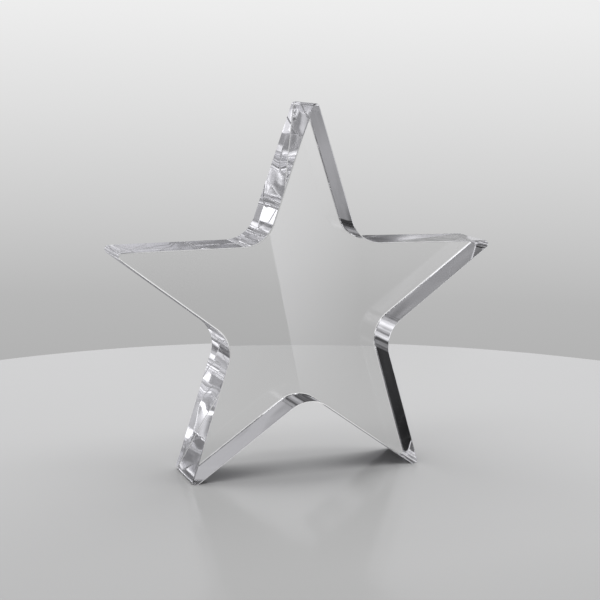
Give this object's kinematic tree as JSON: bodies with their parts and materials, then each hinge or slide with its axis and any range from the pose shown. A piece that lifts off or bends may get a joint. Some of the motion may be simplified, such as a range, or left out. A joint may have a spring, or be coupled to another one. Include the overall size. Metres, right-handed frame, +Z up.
{
  "type": "star trophy",
  "caption": "Free-standing star award: a solid block of clear acrylic with rounded inner corners and bevelled face edges, resting on flats ground on its lower arms.",
  "frame": {"origin": "on the resting surface, at the middle of the star's width and of its thickness", "axes": "+Z up through the top arm, +X to the right along the width as seen from the front, -Y out of the front face"},
  "size_m": [0.127, 0.019, 0.1206],
  "materials": {
    "clear_acrylic": "clear cast acrylic, flame-polished edges and glossy faces"
  },
  "bodies": {
    "root": {"star_block": "clear_acrylic"}
  },
  "joints": []
}
